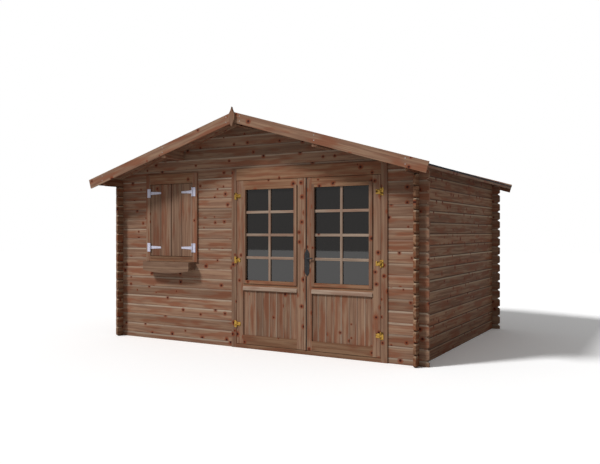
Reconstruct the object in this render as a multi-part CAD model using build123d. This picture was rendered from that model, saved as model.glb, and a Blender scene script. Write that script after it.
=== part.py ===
from build123d import *
import math
import os

# Overall sizes, in millimetres.
wall_width = 4050.0
wall_depth = 3000.0
eaves_height = 2022.0
roof_pitch = 16.52

# Wall boards: cover height, thickness, groove at each joint, stub beyond each corner.
board_cover = 120.0
board_thick = 28.0
joint_groove_half = 4.0
joint_groove_deep = 3.5
stub_length = 100.0
stub_notch_deep = 30.0
stub_notch_half = 20.0
lap_clearance = 0.5
lap_seat = 0.15

# Roof: overhangs, boards, covering, purlins, barge boards.
barge_seat_gap = 0.3
front_overhang = 350.0
rear_overhang = 200.0
eave_overhang = 210.0
roof_board_thick = 19.0
roof_board_cover = 96.0
roof_groove_half = 3.0
roof_groove_deep = 3.0
felt_thick = 4.0
felt_lip = 16.0
purlin_width = 70.0
purlin_depth = 100.0
purlin_offset = 1020.0
eave_beam_bevel = 36.0
batten_thick = 18.0
batten_depth = 38.0
barge_thick = 18.0
barge_depth = 113.0
barge_rise = 20.0
barge_end_overlap = 6.0

# Finial: heights are above or below the top of the barge boards at the ridge.
finial_thick = 28.0
finial_tip_up = 52.0
finial_neck_up = 15.5
finial_neck_half_width = 10.5
finial_shoulder_down = 16.0
finial_shoulder_half_width = 30.0
finial_belly_half_width = 38.0
finial_hip_down = 99.0
finial_ankle_down = 137.0
finial_ankle_half_width = 16.0
finial_foot_down = 168.0

# Door frame and its place in the front wall.
door_from_right = 335.0
door_frame_width = 1947.0
door_above_eaves = 48.0
post_width = 70.0
frame_proud = 14.0
frame_depth = 68.0
frame_overlap = 15.0
door_head_depth = 135.0
door_sill_height = 45.0
stop_depth = 21.0
stop_reach = 15.0

# Door leaves.
leaf_clearance = 5.0
leaf_meeting_gap = 6.0
leaf_edge_relief = 2.0
leaf_thick = 40.0
leaf_setback = 2.0
leaf_stile_width = 89.0
bottom_rail_height = 105.0
middle_rail_height = 83.0
top_rail_height = 68.0
lower_panel_height = 512.0
panel_thick = 16.0
panel_setback = 12.0
panel_tongue = 8.0
panel_board_cover = 90.0
sash_member_width = 36.0
sash_proud = 14.0
sash_thick = 40.0
door_glass_setback = 28.0
glass_thick = 4.0
glass_edge = 9.0
glass_slot_clearance = 0.2

# Door ironwork.
door_hinge_above_sill = 230.0
door_hinge_below_head = 180.0
door_strap_length = 52.0
door_strap_height = 46.0
door_plate_width = 28.0
door_plate_height = 78.0
hinge_metal = 3.0
hinge_pin_radius = 3.0
hinge_pin_clearance = 0.3
hinge_barrel_radius = 6.0
hinge_barrel_sides = 12
barrel_end_gap = 0.5
cover_strip_width = 22.0
cover_strip_proud = 13.0
handle_plate_width = 58.0
handle_plate_height = 296.0
handle_plate_thick = 4.0
handle_plate_centre = 1004.0
handle_point_height = 46.0
handle_bend_from_tip = 20.0
handle_bend_half_width = 16.0
handle_from_edge = 33.0
lever_height = 1053.0
lever_standoff = 42.0
lever_length = 84.0
lever_radius = 8.0
lever_clearance = 0.3

# Window frame, sash and shutters.
window_from_left = 446.0
window_frame_width = 812.0
window_frame_bottom = 976.0
window_above_eaves = 35.0
casing_proud = 20.0
casing_depth = 74.0
casing_stile_width = 68.0
casing_head_depth = 122.0
casing_bottom_depth = 62.0
window_sash_width = 45.0
window_sash_thick = 30.0
window_glass_setback = 13.0
shutter_clearance = 6.0
shutter_meeting_gap = 8.0
shutter_setback = 6.0
shutter_thick = 18.0
shutter_groove_half = 3.0
shutter_groove_deep = 3.0
ledge_thick = 14.0
ledge_height = 90.0
ledge_end_gap = 30.0
shutter_hinge_inset = 103.0
shutter_strap_length = 170.0
shutter_strap_root = 38.0
shutter_strap_tip = 22.0
shutter_plate_width = 46.0
shutter_plate_height = 108.0

# Window box.
box_front_width = 724.0
box_reach = 125.0
box_board_thick = 18.0
box_top_drop = 2.0
box_end_depth = 104.0
box_bow = 34.0
box_trough_depth = 92.0

# Worked out from the sizes above.
half_width = wall_width / 2
tilt = math.radians(roof_pitch)
rise = math.tan(tilt)
apex = eaves_height + half_width * rise
side_end = wall_depth + stub_length
rear_barge = wall_depth + rear_overhang - barge_thick
roof_front = -front_overhang + barge_thick + barge_seat_gap
roof_rear = rear_barge - barge_seat_gap
course_quarter = board_cover / 4
far = wall_width + wall_depth

door_frame_height = eaves_height + door_above_eaves
door_right = half_width - door_from_right
door_left = door_right - door_frame_width
door_middle = (door_left + door_right) / 2
clear_left = door_left + post_width
clear_right = door_right - post_width
clear_top = door_frame_height - door_head_depth
low_door_hinge = door_sill_height + door_hinge_above_sill
high_door_hinge = clear_top - door_hinge_below_head
door_hinge_heights = (low_door_hinge, (low_door_hinge + high_door_hinge) / 2, high_door_hinge)
window_left = -half_width + window_from_left
window_right = window_left + window_frame_width
window_top = eaves_height + window_above_eaves
window_middle = (window_left + window_right) / 2


def front_joints(low, high):
    """Heights of the joints of the front and back walls, which start with half a board."""
    first = math.ceil(low / board_cover - 0.5 - 1e-9)
    last = math.floor(high / board_cover - 0.5 + 1e-9)
    return [(k + 0.5) * board_cover for k in range(first, last + 1)]


def side_joints(low, high):
    """Heights of the joints of the side walls, which start with a whole board."""
    first = math.ceil(low / board_cover - 1e-9)
    last = math.floor(high / board_cover + 1e-9)
    return [k * board_cover for k in range(first, last + 1)]


def solid_of(points, plane, along, amount):
    """Prism of a closed outline drawn on a plane, drawn out along a direction."""
    return extrude(plane * make_face(Polyline(*points, close=True)), amount=amount, dir=along)


def block(x, y, z):
    """Box between two corners, given as one pair of limits for each axis."""
    size = Box(x[1] - x[0], y[1] - y[0], z[1] - z[0])
    return Pos((x[0] + x[1]) / 2, (y[0] + y[1]) / 2, (z[0] + z[1]) / 2) * size


def stack_outline(low, high, joints):
    """Section through a stack of boards, with a groove at each joint on the outer face."""
    outer = []
    for joint in joints:
        if joint > low:
            outer.append((0, joint - joint_groove_half))
        outer.append((joint_groove_deep, joint))
        if joint < high:
            outer.append((0, joint + joint_groove_half))
    if low not in joints:
        outer.insert(0, (0, low))
    if high not in joints:
        outer.append((0, high))
    return outer + [(board_thick, high), (board_thick, low)]


def end_outline(start, end, low, high, joints, stub_start, stub_end):
    """Elevation of a stack of boards, with a notch at each joint on the stub ends."""
    def edge(at, inward):
        points = [(at, low)]
        for joint in joints:
            points += [
                (at, joint - stub_notch_half),
                (at + inward * stub_notch_deep, joint),
                (at, joint + stub_notch_half),
            ]
        points.append((at, high))
        return [point for point in points if low <= point[1] <= high]

    left = edge(start, 1) if stub_start else [(start, low), (start, high)]
    right = edge(end, -1) if stub_end else [(end, low), (end, high)]
    return left + right[::-1]


def board_wall(start, end, low, high, joints, stub_start=False, stub_end=False, crossings=()):
    """Stack of boards along X, its outer face at Y 0, half lapped where another wall crosses."""
    section = stack_outline(low, high, joints)
    stack = Pos(start, 0, 0) * solid_of(section, Plane.YZ, (1, 0, 0), end - start)
    outline = end_outline(start, end, low, high, joints, stub_start, stub_end)
    face = Pos(0, -board_thick, 0) * solid_of(outline, Plane.XZ, (0, 1, 0), 3 * board_thick)
    wall = stack & face
    half = board_thick / 2 + lap_clearance
    lap = course_quarter + lap_seat
    laps = [
        block(
            (middle - half, middle + half),
            (-board_thick, 2 * board_thick),
            (joint - lap, joint + lap),
        )
        for middle in crossings
        for joint in joints
    ]
    return wall - laps if laps else wall


def roof_space():
    """Everything below the underside of the roof boards."""
    points = [
        (-far, -far),
        (-far, apex - far * rise),
        (0, apex),
        (far, apex - far * rise),
        (far, -far),
    ]
    return Pos(0, -far, 0) * solid_of(points, Plane.XZ, (0, 1, 0), 3 * far)


def side_place(part):
    """Turn a wall built along X into the right side wall, outer face outwards."""
    return Pos(half_width, 0, 0) * (Rot(0, 0, 90) * part)


def to_left(part):
    """Mirror image across the middle of the shed."""
    return mirror(part, about=Plane.YZ)


below_roof = roof_space()
corner = half_width - board_thick / 2
wall_reach = half_width + stub_length
opening_left = door_left + frame_overlap
opening_right = door_right - frame_overlap
opening_top = door_frame_height - frame_overlap
window_hole = (window_left + frame_overlap, window_right - frame_overlap)
window_hole_low = window_frame_bottom + frame_overlap
window_hole_high = window_top - frame_overlap
sill_joint = front_joints(window_hole_low, far)[0]
header_joint = front_joints(0, min(window_hole_high, opening_top))[-1]


def purlin_outline(middle):
    """End view of a purlin whose top is planed to the slope of the roof."""
    left = middle - purlin_width / 2
    right = middle + purlin_width / 2
    bottom = apex - abs(middle) * rise - purlin_depth
    top = [(right, apex - abs(right) * rise), (left, apex - abs(left) * rise)]
    if left < 0 < right:
        top.insert(1, (0, apex))
    return [(left, bottom), (right, bottom)] + top


def purlin(middle):
    """Purlin that runs from the front barge boards to the rear ones."""
    length = roof_rear - roof_front
    return Pos(0, roof_front, 0) * solid_of(purlin_outline(middle), Plane.XZ, (0, 1, 0), length)


def purlin_slots():
    """Slots in a gable for the three purlins, which lie in them."""
    slots = []
    for middle in (-purlin_offset, 0, purlin_offset):
        half = purlin_width / 2 + lap_clearance
        bottom = apex - abs(middle) * rise - purlin_depth
        slots.append(
            block((middle - half, middle + half), (-board_thick, 2 * board_thick), (bottom, 2 * apex))
        )
    return slots


def front_walls():
    """The front wall, split beside and over the door and the window."""
    lower = board_wall(
        -wall_reach, opening_left, 0, sill_joint, front_joints(0, sill_joint),
        stub_start=True, crossings=(-corner,),
    )
    hole = (-board_thick, 2 * board_thick)
    lower -= block(window_hole, hole, (window_hole_low, 2 * sill_joint))
    beside = front_joints(sill_joint, header_joint)
    left_end = board_wall(
        -wall_reach, window_hole[0], sill_joint, header_joint, beside,
        stub_start=True, crossings=(-corner,),
    )
    between = board_wall(window_hole[1], opening_left, sill_joint, header_joint, beside)
    right_end = board_wall(
        opening_right, wall_reach, 0, header_joint, front_joints(0, header_joint),
        stub_end=True, crossings=(corner,),
    )
    gable = board_wall(
        -wall_reach, wall_reach, header_joint, apex, front_joints(header_joint, apex),
        stub_start=True, stub_end=True, crossings=(-corner, corner),
    )
    gable -= block(window_hole, hole, (0, window_hole_high))
    gable -= block((opening_left, opening_right), hole, (0, opening_top))
    gable = (gable - purlin_slots()) & below_roof
    return lower, left_end, between, right_end, gable


def back_wall():
    """The back wall and its gable, whole boards from corner to corner."""
    wall = board_wall(
        -wall_reach, wall_reach, 0, apex, front_joints(0, apex),
        stub_start=True, stub_end=True, crossings=(-corner, corner),
    )
    wall = (wall - purlin_slots()) & below_roof
    return Pos(0, wall_depth - board_thick, 0) * wall


eave_joint = side_joints(0, eaves_height)[-1]
side_crossings = (board_thick / 2, wall_depth - board_thick / 2)


def side_wall():
    """The right side wall up to its eave beam."""
    wall = board_wall(
        -stub_length, side_end, 0, eave_joint, side_joints(0, eave_joint),
        stub_start=True, stub_end=True, crossings=side_crossings,
    )
    return side_place(wall)


def eave_beam():
    """Top board of the right side wall, run on to the barge boards at both ends."""
    high = eave_joint + board_cover
    beam = board_wall(
        roof_front, roof_rear, eave_joint, high, side_joints(eave_joint, high),
        crossings=side_crossings,
    )
    for at, inward in ((roof_front, 1), (roof_rear, -1)):
        corner_cut = [(at, eave_joint), (at + inward * eave_beam_bevel, eave_joint)]
        corner_cut.append((at, eave_joint + eave_beam_bevel))
        cut = solid_of(corner_cut, Plane.XZ, (0, 1, 0), 3 * board_thick)
        beam -= Pos(0, -board_thick, 0) * cut
    return side_place(beam) & below_roof


def slope_plane():
    """Plane across the right slope at the ridge: Y to the right, away from the roof upwards."""
    direction = (math.cos(tilt), 0, -math.sin(tilt))
    return Plane(origin=(0, 0, apex), x_dir=(0, 1, 0), z_dir=direction)


batten_outer = (half_width + eave_overhang) / math.cos(tilt)
board_end = batten_outer - batten_thick
felt_end = batten_outer + felt_thick


def slope_prism(points, start, end):
    """Prism on the right slope, its section across the slope, from the ridge towards the eave."""
    plane = slope_plane()
    direction = plane.z_dir
    prism = solid_of(points, plane, direction, end - start)
    return Pos(*(direction * start)) * prism


def right_of_ridge(part):
    """Keep what lies to the right of the ridge."""
    return part & block((0, 3 * far), (-far, 2 * far), (0, 3 * apex))


def roof_boards():
    """Boards of the right slope, laid from ridge to eave, with grooves between them below."""
    under = [(roof_front, 0)]
    count = math.ceil((roof_rear - roof_front) / roof_board_cover) - 1
    for k in range(1, count + 1):
        at = roof_front + k * roof_board_cover
        under += [(at - roof_groove_half, 0), (at, roof_groove_deep), (at + roof_groove_half, 0)]
    under = [point for point in under if point[0] < roof_rear - roof_groove_half]
    section = under + [(roof_rear, 0), (roof_rear, roof_board_thick), (roof_front, roof_board_thick)]
    return right_of_ridge(slope_prism(section, -roof_board_thick, board_end))


def eave_batten():
    """Strip nailed over the ends of the roof boards."""
    low = roof_board_thick - batten_depth
    section = [
        (roof_front, low), (roof_rear, low),
        (roof_rear, roof_board_thick), (roof_front, roof_board_thick),
    ]
    return slope_prism(section, board_end, batten_outer)


def roof_felt():
    """Covering of the right slope, turned down over the eave batten."""
    low = roof_board_thick
    high = roof_board_thick + felt_thick
    sheet = slope_prism(
        [(roof_front, low), (roof_rear, low), (roof_rear, high), (roof_front, high)],
        -roof_board_thick, felt_end,
    )
    lip = slope_prism(
        [(roof_front, high - felt_lip), (roof_rear, high - felt_lip), (roof_rear, high), (roof_front, high)],
        batten_outer, felt_end,
    )
    return right_of_ridge(sheet + lip)


cover_top = (roof_board_thick + felt_thick + barge_rise) / math.cos(tilt)


def barge_board(y_low):
    """Right barge board, mitred at the ridge and cut square at its lower end."""
    top = apex + cover_top
    end_x = half_width + eave_overhang + felt_thick + barge_end_overlap
    end_z = top - end_x * rise
    foot = (end_x - barge_depth * math.sin(tilt), end_z - barge_depth * math.cos(tilt))
    points = [(0, top - barge_depth / math.cos(tilt)), foot, (end_x, end_z), (0, top)]
    return Pos(0, y_low, 0) * solid_of(points, Plane.XZ, (0, 1, 0), barge_thick)


def finial():
    """Pointed piece over the joint of the front barge boards."""
    top = apex + cover_top
    tip = (0, top + finial_tip_up)
    neck = (finial_neck_half_width, top + finial_neck_up)
    shoulder = (finial_shoulder_half_width, top - finial_shoulder_down)
    hip = (finial_shoulder_half_width, top - finial_hip_down)
    belly = (finial_belly_half_width, (shoulder[1] + hip[1]) / 2)
    ankle = (finial_ankle_half_width, top - finial_ankle_down)
    foot = (0, top - finial_foot_down)
    right = [ThreePointArc(foot, ankle, hip), ThreePointArc(hip, belly, shoulder)]
    right.append(ThreePointArc(shoulder, neck, tip))
    left = [mirror(edge, about=Plane.YZ) for edge in right]
    outline = Plane.XZ * make_face(right + left)
    return Pos(0, -front_overhang, 0) * extrude(outline, amount=finial_thick, dir=(0, -1, 0))


frame_y = (-frame_proud, frame_depth - frame_proud)
groove_y = (-lap_clearance, board_thick + lap_clearance)
stop_y = (frame_y[1] - stop_depth, frame_y[1])
leaf_front = -frame_proud + leaf_setback
leaf_back = leaf_front + leaf_thick


def door_posts():
    """Posts of the door frame, grooved for the boards beside and above, with the stop for the leaf."""
    over = (opening_top, door_frame_height)
    left = block((door_left, clear_left), frame_y, (0, door_frame_height))
    left -= block((door_left, opening_left), groove_y, (0, door_frame_height))
    left -= block((door_left, clear_left), groove_y, over)
    left += block((clear_left, clear_left + stop_reach), stop_y, (0, clear_top))
    right = block((clear_right, door_right), frame_y, (0, door_frame_height))
    right -= block((opening_right, door_right), groove_y, (0, door_frame_height))
    right -= block((clear_right, door_right), groove_y, over)
    right += block((clear_right - stop_reach, clear_right), stop_y, (0, clear_top))
    return Compound(children=[left, right])


def door_head():
    """Head of the door frame, grooved for the board above it."""
    head = block((clear_left, clear_right), frame_y, (clear_top, door_frame_height))
    head -= block((clear_left, clear_right), groove_y, (opening_top, door_frame_height))
    stop_x = (clear_left + stop_reach, clear_right - stop_reach)
    return head + block(stop_x, stop_y, (clear_top - stop_reach, clear_top))


def door_sill():
    """Threshold between the posts, with the stop for the leaves."""
    stop_x = (clear_left + stop_reach, clear_right - stop_reach)
    sill = block(stop_x, frame_y, (0, door_sill_height))
    sill += block((clear_left, clear_right), (frame_y[0], stop_y[0]), (0, door_sill_height))
    return sill + block(stop_x, stop_y, (0, door_sill_height + stop_reach))


leaf_outer = clear_right - leaf_clearance
leaf_inner = door_middle + leaf_meeting_gap / 2
leaf_low = door_sill_height + leaf_clearance
leaf_high = clear_top - leaf_clearance
stile_in = leaf_inner + leaf_stile_width
stile_out = leaf_outer - leaf_stile_width
bottom_rail_top = leaf_low + bottom_rail_height
middle_rail_low = bottom_rail_top + lower_panel_height
middle_rail_top = middle_rail_low + middle_rail_height
top_rail_low = leaf_high - top_rail_height
panel_y = (leaf_front + panel_setback, leaf_front + panel_setback + panel_thick)
sash_y = (leaf_front - sash_proud, leaf_front - sash_proud + sash_thick)
sash_x = (stile_in, stile_out)
sash_z = (middle_rail_top, top_rail_low)


def leaf_stiles():
    """Stiles of the right leaf, grooved for the panel, the meeting edge planed back behind."""
    points = [
        (leaf_inner, leaf_front), (stile_in, leaf_front),
        (stile_in, leaf_back), (leaf_inner + leaf_edge_relief, leaf_back),
    ]
    meeting = Pos(0, 0, leaf_low) * solid_of(points, Plane.XY, (0, 0, 1), leaf_high - leaf_low)
    hanging = block((stile_out, leaf_outer), (leaf_front, leaf_back), (leaf_low, leaf_high))
    groove_z = (bottom_rail_top - panel_tongue, middle_rail_low + panel_tongue)
    groove_x = (stile_in - panel_tongue, stile_out + panel_tongue)
    groove = block(groove_x, panel_y, groove_z)
    return Compound(children=[meeting - groove, hanging - groove])


def leaf_rails():
    """Bottom, middle and top rails of the right leaf, grooved for the panel."""
    depth = (leaf_front, leaf_back)
    groove_z = (bottom_rail_top - panel_tongue, middle_rail_low + panel_tongue)
    groove = block((stile_in, stile_out), panel_y, groove_z)
    bottom = block((stile_in, stile_out), depth, (leaf_low, bottom_rail_top)) - groove
    middle = block((stile_in, stile_out), depth, (middle_rail_low, middle_rail_top)) - groove
    top = block((stile_in, stile_out), depth, (top_rail_low, leaf_high))
    return Compound(children=[bottom, middle, top])


def grooved_boards(x_low, x_high, y_low, thick, cover, half, deep):
    """Plan of boards side by side, with a groove at each joint on both faces."""
    front = [(x_low, y_low)]
    count = round((x_high - x_low) / cover)
    pitch = (x_high - x_low) / count
    for k in range(1, count):
        at = x_low + k * pitch
        front += [(at - half, y_low), (at, y_low + deep), (at + half, y_low)]
    front.append((x_high, y_low))
    back = [(x, 2 * y_low + thick - y) for x, y in reversed(front)]
    return front + back


def leaf_panel():
    """Upright boards in the lower half of the right leaf, let into the stiles and rails."""
    x_low = stile_in - panel_tongue
    x_high = stile_out + panel_tongue
    z_low = bottom_rail_top - panel_tongue
    height = lower_panel_height + 2 * panel_tongue
    outline = grooved_boards(
        x_low, x_high, panel_y[0], panel_thick, panel_board_cover, shutter_groove_half, shutter_groove_deep
    )
    return Pos(0, 0, z_low) * solid_of(outline, Plane.XY, (0, 0, 1), height)


def sash_pieces(x, y, z, member, setback):
    """Uprights and cross pieces of a glazed sash, slotted for the glass, and its pane."""
    pane_y = (y[0] + setback, y[0] + setback + glass_thick)
    slot_y = (pane_y[0] - glass_slot_clearance, pane_y[1] + glass_slot_clearance)
    inside_x = (x[0] + member, x[1] - member)
    inside_z = (z[0] + member, z[1] - member)
    pane_x = (inside_x[0] - glass_edge, inside_x[1] + glass_edge)
    pane_z = (inside_z[0] - glass_edge, inside_z[1] + glass_edge)
    slot = block(pane_x, slot_y, pane_z)
    left = block((x[0], inside_x[0]), y, z) - slot
    right = block((inside_x[1], x[1]), y, z) - slot
    low = block(inside_x, y, (z[0], inside_z[0])) - slot
    high = block(inside_x, y, (inside_z[1], z[1])) - slot
    uprights = Compound(children=[left, right])
    crossings = Compound(children=[low, high])
    return uprights, crossings, block(pane_x, pane_y, pane_z)


def barrel(x, y, low, high, radius):
    """Upright cylinder between two heights."""
    return Pos(x, y, (low + high) / 2) * Cylinder(radius, high - low)


def knuckle(x, y, low, high):
    """Upright hinge barrel between two heights, its outside in small flats."""
    outline = RegularPolygon(hinge_barrel_radius, hinge_barrel_sides)
    return Pos(x, y, low) * extrude(outline, amount=high - low)


def relief(x, low, high):
    """Room cut in a hinge plate for the barrel of its strap."""
    half = hinge_barrel_radius + barrel_end_gap
    return block((x - half, x + half), (-far, far), (low, high))


door_pin_x = clear_right - leaf_clearance / 2
door_pin_y = -frame_proud - hinge_barrel_radius


def door_hinge_straps():
    """Hinge straps on the right leaf, each with its barrel round the pin."""
    straps = []
    for height in door_hinge_heights:
        z = (height - door_strap_height / 2, height + door_strap_height / 2)
        flap = block(
            (leaf_outer - door_strap_length, leaf_outer),
            (leaf_front - hinge_metal, leaf_front), z,
        )
        arm = block((leaf_outer - hinge_metal, door_pin_x), (door_pin_y, leaf_front), z)
        strap = flap + arm + knuckle(door_pin_x, door_pin_y, z[0], z[1])
        bore = barrel(door_pin_x, door_pin_y, z[0], z[1], hinge_pin_radius + hinge_pin_clearance)
        straps.append(strap - bore)
    return straps


def door_hinge_plates():
    """Hinge plates on the right post, each with its two barrels and its pin."""
    plates = []
    for height in door_hinge_heights:
        low = height - door_plate_height / 2
        high = height + door_plate_height / 2
        inner = door_strap_height / 2 + barrel_end_gap
        flap = block(
            (clear_right, clear_right + door_plate_width),
            (-frame_proud - hinge_metal, -frame_proud), (low, high),
        )
        flap -= relief(door_pin_x, height - inner, height + inner)
        plate = flap + barrel(door_pin_x, door_pin_y, low, high, hinge_pin_radius)
        for z in ((low, height - inner), (height + inner, high)):
            plate += knuckle(door_pin_x, door_pin_y, z[0], z[1])
            plate += block((door_pin_x, clear_right + hinge_metal), (door_pin_y, -frame_proud), z)
        plates.append(plate)
    return plates


def cover_strip():
    """Rounded strip on the meeting edge of the right leaf, cut out for the handle plate."""
    back = leaf_front
    width = cover_strip_width
    left = leaf_inner
    crown = (left + width / 2, back - cover_strip_proud)
    shoulder = back - cover_strip_proud / 2
    outline = [
        Line((left, shoulder), (left, back)),
        Line((left, back), (left + width, back)),
        Line((left + width, back), (left + width, shoulder)),
        ThreePointArc((left + width, shoulder), crown, (left, shoulder)),
    ]
    face = make_face(outline)
    gap = (
        handle_plate_centre - handle_plate_height / 2,
        handle_plate_centre + handle_plate_height / 2,
    )
    low = Pos(0, 0, leaf_low) * extrude(face, amount=gap[0] - leaf_low)
    high = Pos(0, 0, gap[1]) * extrude(face, amount=leaf_high - gap[1])
    return Compound(children=[low, high])


handle_x = leaf_inner + handle_from_edge


def door_handle_plate():
    """Handle plate with pointed ends, on the meeting stile of the right leaf."""
    half = handle_plate_width / 2
    tip = handle_plate_height / 2
    shoulder = tip - handle_point_height
    bend = tip - handle_bend_from_tip
    right_side = [
        ThreePointArc((0, -tip), (handle_bend_half_width, -bend), (half, -shoulder)),
        Line((half, -shoulder), (half, shoulder)),
        ThreePointArc((half, shoulder), (handle_bend_half_width, bend), (0, tip)),
    ]
    left_side = [mirror(edge, about=Plane.YZ) for edge in right_side]
    face = Plane.XZ * make_face(right_side + left_side)
    plate = extrude(face, amount=handle_plate_thick, dir=(0, -1, 0))
    return Pos(handle_x, leaf_front, handle_plate_centre) * plate


def door_lever():
    """Lever that turns in front of the handle plate."""
    front = leaf_front - handle_plate_thick - lever_clearance
    reach = lever_standoff
    neck = Pos(handle_x, front - reach / 2, lever_height) * (Rot(90, 0, 0) * Cylinder(lever_radius, reach))
    arm_y = front - reach + lever_radius
    arm = Pos(handle_x + lever_length / 2, arm_y, lever_height) * (
        Rot(0, 90, 0) * Cylinder(lever_radius, lever_length)
    )
    return neck + arm


casing_y = (-casing_proud, casing_depth - casing_proud)
shutter_x = (window_left + casing_stile_width, window_right - casing_stile_width)
shutter_z = (window_frame_bottom + casing_bottom_depth, window_top - casing_head_depth)


def window_casing():
    """Stiles and cross pieces of the window frame, grooved for the boards round it."""
    z = (window_frame_bottom, window_top)
    hole_z = (window_hole_low, window_hole_high)
    left = block((window_left, shutter_x[0]), casing_y, z)
    left -= block((window_left, window_hole[0]), groove_y, z)
    right = block((shutter_x[1], window_right), casing_y, z)
    right -= block((window_hole[1], window_right), groove_y, z)
    for piece_z in ((z[0], hole_z[0]), (hole_z[1], z[1])):
        left -= block((window_left, shutter_x[0]), groove_y, piece_z)
        right -= block((shutter_x[1], window_right), groove_y, piece_z)
    low = block(shutter_x, casing_y, (z[0], shutter_z[0]))
    low -= block(shutter_x, groove_y, (z[0], hole_z[0]))
    high = block(shutter_x, casing_y, (shutter_z[1], z[1]))
    high -= block(shutter_x, groove_y, (hole_z[1], z[1]))
    return Compound(children=[left, right]), Compound(children=[low, high])


shutter_front = -casing_proud + shutter_setback
shutter_back = shutter_front + shutter_thick
shutter_outer = shutter_x[1] - shutter_clearance
shutter_inner = window_middle + shutter_meeting_gap / 2
shutter_low = shutter_z[0] + shutter_clearance
shutter_high = shutter_z[1] - shutter_clearance
shutter_hinge_heights = (shutter_low + shutter_hinge_inset, shutter_high - shutter_hinge_inset)


def shutter():
    """Right shutter: two upright boards held by two ledges behind."""
    cover = (shutter_outer - shutter_inner) / 2
    outline = grooved_boards(
        shutter_inner, shutter_outer, shutter_front, shutter_thick, cover,
        shutter_groove_half, shutter_groove_deep,
    )
    height = shutter_high - shutter_low
    panel = Pos(0, 0, shutter_low) * solid_of(outline, Plane.XY, (0, 0, 1), height)
    for middle in shutter_hinge_heights:
        panel += block(
            (shutter_inner + ledge_end_gap, shutter_outer - ledge_end_gap),
            (shutter_back, shutter_back + ledge_thick),
            (middle - ledge_height / 2, middle + ledge_height / 2),
        )
    return panel


shutter_pin_x = shutter_x[1] - shutter_clearance / 2
shutter_pin_y = -casing_proud - hinge_barrel_radius


def shutter_straps():
    """Tapered hinge straps on the right shutter, each with its barrel round the pin."""
    straps = []
    for height in shutter_hinge_heights:
        root = shutter_outer
        tip = shutter_pin_x - shutter_strap_length
        points = [
            (root, height - shutter_strap_root / 2), (root, height + shutter_strap_root / 2),
            (tip, height + shutter_strap_tip / 2), (tip, height - shutter_strap_tip / 2),
        ]
        flap = solid_of(points, Plane.XZ, (0, -1, 0), hinge_metal)
        flap = Pos(0, shutter_front, 0) * flap
        z = (height - shutter_strap_root / 2, height + shutter_strap_root / 2)
        arm = block((root - hinge_metal, shutter_pin_x), (shutter_pin_y, shutter_front), z)
        strap = flap + arm + knuckle(shutter_pin_x, shutter_pin_y, z[0], z[1])
        bore = barrel(shutter_pin_x, shutter_pin_y, z[0], z[1], hinge_pin_radius + hinge_pin_clearance)
        straps.append(strap - bore)
    return straps


def shutter_plates():
    """Hinge plates on the right stile of the window frame, each with its barrels and pin."""
    plates = []
    for height in shutter_hinge_heights:
        low = height - shutter_plate_height / 2
        high = height + shutter_plate_height / 2
        inner = shutter_strap_root / 2 + barrel_end_gap
        edge = shutter_x[1]
        flap = block(
            (edge, edge + shutter_plate_width), (-casing_proud - hinge_metal, -casing_proud), (low, high)
        )
        flap -= relief(shutter_pin_x, height - inner, height + inner)
        plate = flap + barrel(shutter_pin_x, shutter_pin_y, low, high, hinge_pin_radius)
        for z in ((low, height - inner), (height + inner, high)):
            plate += knuckle(shutter_pin_x, shutter_pin_y, z[0], z[1])
            plate += block((shutter_pin_x, edge + hinge_metal), (shutter_pin_y, -casing_proud), z)
        plates.append(plate)
    return plates


def across_door(part):
    """Mirror image across the middle of the door."""
    return mirror(part, about=Plane.YZ.offset(door_middle))


def across_window(part):
    """Mirror image across the middle of the window."""
    return mirror(part, about=Plane.YZ.offset(window_middle))


box_top = window_frame_bottom - box_top_drop
box_x = (window_middle - box_front_width / 2, window_middle + box_front_width / 2)


def window_box_front():
    """Front board of the window box, its lower edge bowed downwards."""
    low = box_top - box_end_depth
    outline = [
        Line((box_x[0], low), (box_x[0], box_top)),
        Line((box_x[0], box_top), (box_x[1], box_top)),
        Line((box_x[1], box_top), (box_x[1], low)),
        ThreePointArc((box_x[1], low), (window_middle, low - box_bow), (box_x[0], low)),
    ]
    board = extrude(Plane.XZ * make_face(outline), amount=box_board_thick, dir=(0, 1, 0))
    return Pos(0, -box_reach, 0) * board


def window_box_trough():
    """Bottom, ends and back of the window box, fixed to the wall."""
    y = (-box_reach + box_board_thick, 0)
    z = (box_top - box_trough_depth, box_top)
    inner_x = (box_x[0] + box_board_thick, box_x[1] - box_board_thick)
    inner = block(inner_x, (y[0], -box_board_thick), (z[0] + box_board_thick, 2 * box_top))
    return block(box_x, y, z) - inner


parts = {}
walls = front_walls()
parts["front_wall_below_window"] = walls[0]
parts["front_wall_left_end"] = walls[1]
parts["front_wall_between"] = walls[2]
parts["front_wall_right_end"] = walls[3]
parts["front_gable"] = walls[4]
parts["back_wall"] = back_wall()
parts["right_wall"] = side_wall()
parts["left_wall"] = to_left(side_wall())
parts["eave_beams"] = Compound(children=[eave_beam(), to_left(eave_beam())])
parts["ridge_purlin"] = purlin(0)
parts["middle_purlins"] = Compound(children=[purlin(-purlin_offset), purlin(purlin_offset)])
parts["right_roof_boards"] = roof_boards()
parts["left_roof_boards"] = to_left(roof_boards())
parts["eave_battens"] = Compound(children=[eave_batten(), to_left(eave_batten())])
parts["right_roof_felt"] = roof_felt()
parts["left_roof_felt"] = to_left(roof_felt())
parts["front_right_barge"] = barge_board(-front_overhang)
parts["front_left_barge"] = to_left(barge_board(-front_overhang))
parts["rear_right_barge"] = barge_board(rear_barge)
parts["rear_left_barge"] = to_left(barge_board(rear_barge))
parts["front_finial"] = finial()

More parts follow.
